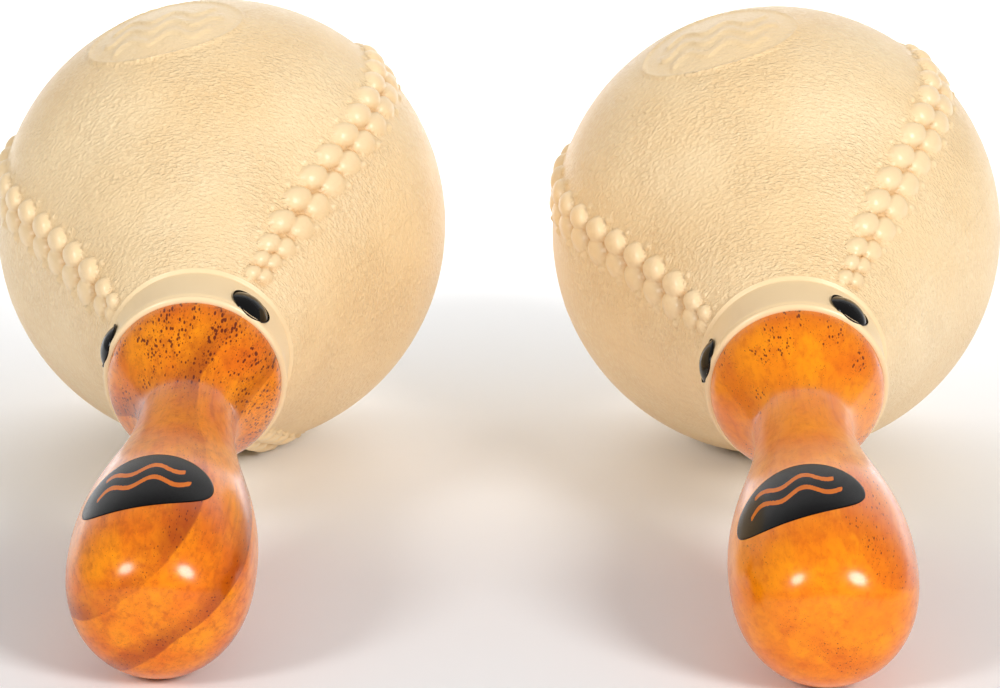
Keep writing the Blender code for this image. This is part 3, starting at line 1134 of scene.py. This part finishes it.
@dataclass(frozen=True)
class Finishes:
    """The finishes that the pair shares, and the wood of each handle."""

    skin: bpy.types.Material
    woods: dict
    black: bpy.types.Material
    film: bpy.types.Material
    pellet: bpy.types.Material

    @classmethod
    def make(cls) -> "Finishes":
        """Makes every finish."""
        left = VarnishedWood(
            name="varnished_wood_left",
            amber=paint(226, 110, 2),
            honey=paint(246, 144, 3),
            band=paint(150, 50, 3),
            slant=(-0.38, -0.92, 0.02),
            pitch=11.2,
            shift=1.8,
            band_share=0.7,
            pore_share=0.33,
            crowding=0.42,
        )
        right = VarnishedWood(
            name="varnished_wood_right",
            amber=paint(236, 122, 2),
            honey=paint(250, 148, 2),
            band=paint(196, 80, 2),
            slant=(0.8, -0.5, 0.02),
            pitch=16.0,
            shift=4.0,
            band_share=0.3,
            pore_share=0.27,
            crowding=0.52,
            wander=9.0,
        )
        woods = {Side.LEFT: left.make(), Side.RIGHT: right.make()}
        film, pellet = PrintedFilm().make(), PelletPlastic().make()
        return cls(MouldedSkin().make(), woods, GlossBlack().make(), film, pellet)


@dataclass
class Maraca:
    """One maraca: its head, handle, film and tacks, and the pellets' finish."""

    lie: Lie
    film_turn: float
    tack_turns: tuple

    def build(self, finishes: Finishes) -> None:
        """Builds and dresses every piece.

        Args:
            finishes: The pair's finishes.
        """
        side = self.lie.side
        pieces = Head(self.lie).build(finishes.skin)
        handle = Handle(self.lie)
        pieces.append(handle.build(finishes.woods[side]))
        pieces.append(ButtFilm(handle, self.film_turn).build(finishes.film))
        for number, turn in enumerate(self.tack_turns, 1):
            pieces.append(Tack(self.lie, number, turn).build(finishes.black))
        for piece in pieces:
            LOG.info("%s: %d points", piece.name, len(piece.data.vertices))
        for name, node in frame["nodes"].items():
            if name.startswith(f"{side.value}_pellet"):
                dress(node, finishes.pellet)
                LOG.info("%s: new finish", name)


def dress(node: bpy.types.Object, look: bpy.types.Material) -> None:
    """Gives a node of the frame a finish in every material slot it has.

    Args:
        node: The node's object.
        look: Its finish.
    """
    if not node.material_slots:
        node.data.materials.append(look)
    for place in node.material_slots:
        place.material = look


@dataclass
class Studio:
    """The pale floor, the soft lights and the camera."""

    floor_size: float = 6.0
    camera_place: tuple = (2.0573, -707.954, 216.0045)
    camera_yaw: float = -0.1204
    camera_pitch: float = 14.3245
    camera_roll: float = -0.69519
    lens: float = 139.7
    world_strength: float = 0.34

    def floor(self) -> None:
        """A wide pale floor that curves up far behind, under the object's lowest point."""
        run = np.linspace(0.0, 1.0, 40)
        turn = np.clip((run - 0.5) / 0.3, 0.0, 1.0) * math.pi / 2.0
        along = np.where(run < 0.5, -3.0 + run * 9.0, 1.5 + 1.4 * np.sin(turn))
        up = 1.4 * (1.0 - np.cos(turn)) + np.clip(run - 0.8, 0.0, 1.0) * 12.0
        across = np.linspace(-self.floor_size, self.floor_size, 5)
        grid = np.broadcast_arrays(across, along[:, None], up[:, None] - 0.00002)
        points = np.stack(grid, -1)
        mesh = bpy.data.meshes.new("floor")
        faces = [face[::-1] for face in quads(len(run), len(across)).tolist()]
        mesh.from_pydata(points.reshape(-1, 3).tolist(), [], faces)
        mesh.shade_smooth()
        floor = add("floor", mesh)
        n = Nodes("pale_floor")
        cloud = n.noise(n.own(), (3.0,) * 3, 2.0, 0.5)
        n.finish(n.blend(cloud, (0.9, 0.9, 0.9, 1.0), (0.93, 0.93, 0.93, 1.0)), 0.8)
        mesh.materials.append(n.material)

    def light(self, name: str, place: tuple, aim: tuple, size: float, power: float) -> None:
        """One round soft light.

        Args:
            name: Its name.
            place: Where it stands, in metres.
            aim: The point that it faces.
            size: Its diameter, in metres.
            power: Its power in watts.
        """
        lamp = bpy.data.lights.new(name, "AREA")
        lamp.shape, lamp.size, lamp.energy = "DISK", size, power
        thing = add(name, lamp)
        thing.location = place
        toward = Vector(aim) - Vector(place)
        thing.rotation_mode = "QUATERNION"
        thing.rotation_quaternion = toward.to_track_quat("-Z", "Y")

    def lights(self) -> None:
        """Two round soft lights in front, one on the backdrop and an even white surround."""
        self.light("key_right", (0.98, -1.25, 0.84), (0.0, 0.0, 0.04), 0.6, 20.5)
        self.light("key_left", (-1.0, -1.2, 0.84), (0.0, 0.0, 0.04), 0.46, 11.0)
        self.light("backdrop", (0.0, 0.75, 1.3), (0.0, 2.4, 0.3), 1.6, 60.0)
        world = bpy.data.worlds.new("surround")
        world.use_nodes = True
        back = world.node_tree.nodes["Background"]
        back.inputs[0].default_value = (1.0, 1.0, 1.0, 1.0)
        back.inputs[1].default_value = self.world_strength
        bpy.context.scene.world = world
        bpy.context.scene.view_settings.view_transform = "Standard"

    def camera(self) -> None:
        """The camera, aimed by its yaw, pitch and roll in degrees."""
        yaw, pitch, roll = (
            math.radians(a) for a in (self.camera_yaw, self.camera_pitch, self.camera_roll)
        )
        flat = math.cos(pitch)
        ahead = Vector((math.sin(yaw) * flat, math.cos(yaw) * flat, -math.sin(pitch)))
        right = Vector((math.cos(yaw), -math.sin(yaw), 0.0))
        down = ahead.cross(right)
        level = right * math.cos(roll) + down * math.sin(roll)
        lower = -right * math.sin(roll) + down * math.cos(roll)
        turn = Matrix((level, -lower, -ahead)).transposed()
        data = bpy.data.cameras.new("camera")
        data.lens, data.sensor_width = self.lens, 36.0
        data.clip_start, data.clip_end = 0.01, 50.0
        camera = add("camera", data)
        camera.matrix_world = Matrix.Translation(Vector(self.camera_place) * MM) @ turn.to_4x4()
        bpy.context.scene.camera = camera

    def build(self) -> None:
        """Sets up the camera, the floor and the lights."""
        self.camera()
        self.floor()
        self.lights()


def write_sizes() -> None:
    """Updates the scene's view layer."""
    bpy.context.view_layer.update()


def main() -> None:
    """Builds the studio and both maracas."""
    logging.basicConfig(level=logging.INFO, format="%(name)s: %(message)s")
    Studio().build()
    finishes = Finishes.make()
    left = Maraca(Lie(Side.LEFT, roll=16.0), film_turn=-4.5, tack_turns=(180.0, -54.0, 57.0))
    left.build(finishes)
    right = Maraca(Lie(Side.RIGHT, roll=19.5), film_turn=1.5, tack_turns=(180.0, -53.0, 59.0))
    right.build(finishes)
    write_sizes()


if __name__ == "__main__":
    main()
